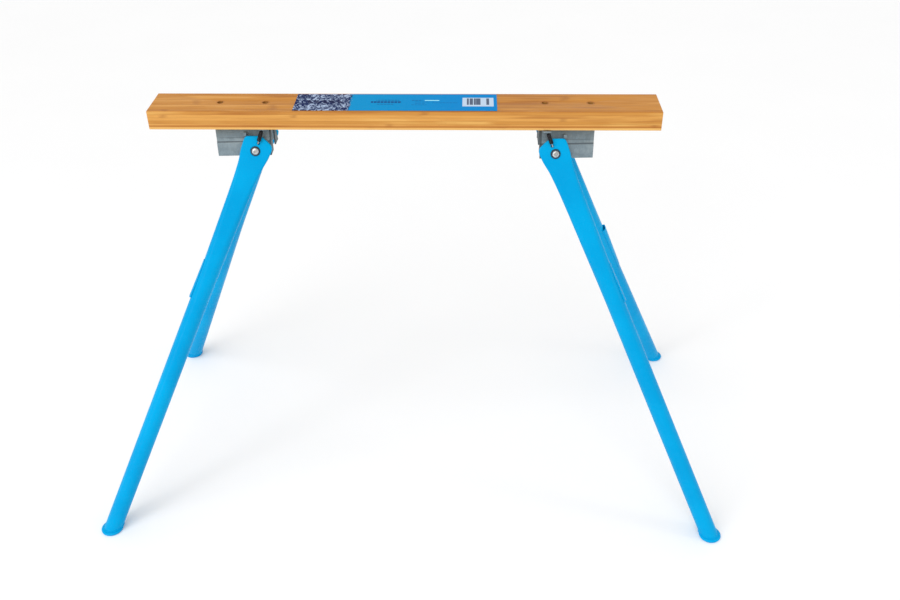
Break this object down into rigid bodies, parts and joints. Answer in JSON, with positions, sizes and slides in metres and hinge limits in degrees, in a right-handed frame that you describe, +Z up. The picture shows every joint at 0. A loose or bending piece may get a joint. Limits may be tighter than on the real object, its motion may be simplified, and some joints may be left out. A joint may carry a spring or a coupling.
{
  "type": "folding sawhorse",
  "caption": "Folding sawhorse: a bamboo rail on sheet metal brackets, with splayed steel tube legs that swing inward along the rail and springs that hold them open.",
  "frame": {"origin": "on the floor, under the middle of the rail", "axes": "+X along the rail to the right, -Y towards the front, +Z up"},
  "size_m": [1.251, 0.627, 0.8007],
  "materials": {
    "bamboo": "laminated bamboo, satin lacquer",
    "label": null,
    "blue": "gloss powder coat",
    "galvanised": "galvanised sheet",
    "zinc": "bright zinc plate",
    "spring": "black oxide",
    "nylon": "moulded nylon"
  },
  "bodies": {
    "frame": {"top_rail": "bamboo", "rail_label": "label", "left_bracket": "galvanised", "right_bracket": "galvanised", "rail_bolt_left_inner": "spring", "rail_washer_left_inner": "zinc", "rail_nut_left_inner": "zinc", "rail_bolt_left_outer": "spring", "rail_washer_left_outer": "zinc", "rail_nut_left_outer": "zinc", "rail_bolt_right_inner": "spring", "rail_washer_right_inner": "zinc", "rail_nut_right_inner": "zinc", "rail_bolt_right_outer": "spring", "rail_washer_right_outer": "zinc", "rail_nut_right_outer": "zinc", "front_left_pivot_bolt": "zinc", "front_left_outer_washer": "nylon", "front_left_inner_washer": "nylon", "front_left_lock_nut": "zinc", "front_left_spring": "spring", "front_right_pivot_bolt": "zinc", "front_right_outer_washer": "nylon", "front_right_inner_washer": "nylon", "front_right_lock_nut": "zinc", "front_right_spring": "spring", "rear_left_pivot_bolt": "zinc", "rear_left_outer_washer": "nylon", "rear_left_inner_washer": "nylon", "rear_left_lock_nut": "zinc", "rear_left_spring": "spring", "rear_right_pivot_bolt": "zinc", "rear_right_outer_washer": "nylon", "rear_right_inner_washer": "nylon", "rear_right_lock_nut": "zinc", "rear_right_spring": "spring"},
    "front_left_leg_body": {"front_left_leg": "blue", "front_left_foot": "blue", "front_left_leg_clip": "blue", "front_left_pivot_bush": "zinc"},
    "front_right_leg_body": {"front_right_leg": "blue", "front_right_foot": "blue", "front_right_leg_clip": "blue", "front_right_pivot_bush": "zinc"},
    "rear_left_leg_body": {"rear_left_leg": "blue", "rear_left_foot": "blue", "rear_left_leg_clip": "blue", "rear_left_pivot_bush": "zinc"},
    "rear_right_leg_body": {"rear_right_leg": "blue", "rear_right_foot": "blue", "rear_right_leg_clip": "blue", "rear_right_pivot_bush": "zinc"}
  },
  "joints": [
    {"name": "front_left_fold", "type": "hinge", "parent": "frame", "child": "front_left_leg_body", "pos_m": [-0.272, -0.0385, 0.722], "axis": [0.0464, -0.949, 0.3119], "range_deg": [0, 108], "stiffness_Nm_per_rad": 0.2, "springref_deg": -5.73, "deforming": ["front_left_spring"]},
    {"name": "front_right_fold", "type": "hinge", "parent": "frame", "child": "front_right_leg_body", "pos_m": [0.272, -0.0465, 0.722], "axis": [-0.0459, 0.9391, -0.3405], "range_deg": [0, 108], "stiffness_Nm_per_rad": 0.2, "springref_deg": -5.73, "deforming": ["front_right_spring"]},
    {"name": "rear_left_fold", "type": "hinge", "parent": "frame", "child": "rear_left_leg_body", "pos_m": [-0.272, 0.0385, 0.722], "axis": [-0.0464, -0.9485, -0.3134], "range_deg": [0, 108], "stiffness_Nm_per_rad": 0.2, "springref_deg": -5.73, "deforming": ["rear_left_spring"]},
    {"name": "rear_right_fold", "type": "hinge", "parent": "frame", "child": "rear_right_leg_body", "pos_m": [0.272, 0.0465, 0.722], "axis": [0.046, 0.9397, 0.339], "range_deg": [0, 108], "stiffness_Nm_per_rad": 0.2, "springref_deg": -5.73, "deforming": ["rear_right_spring"]}
  ]
}
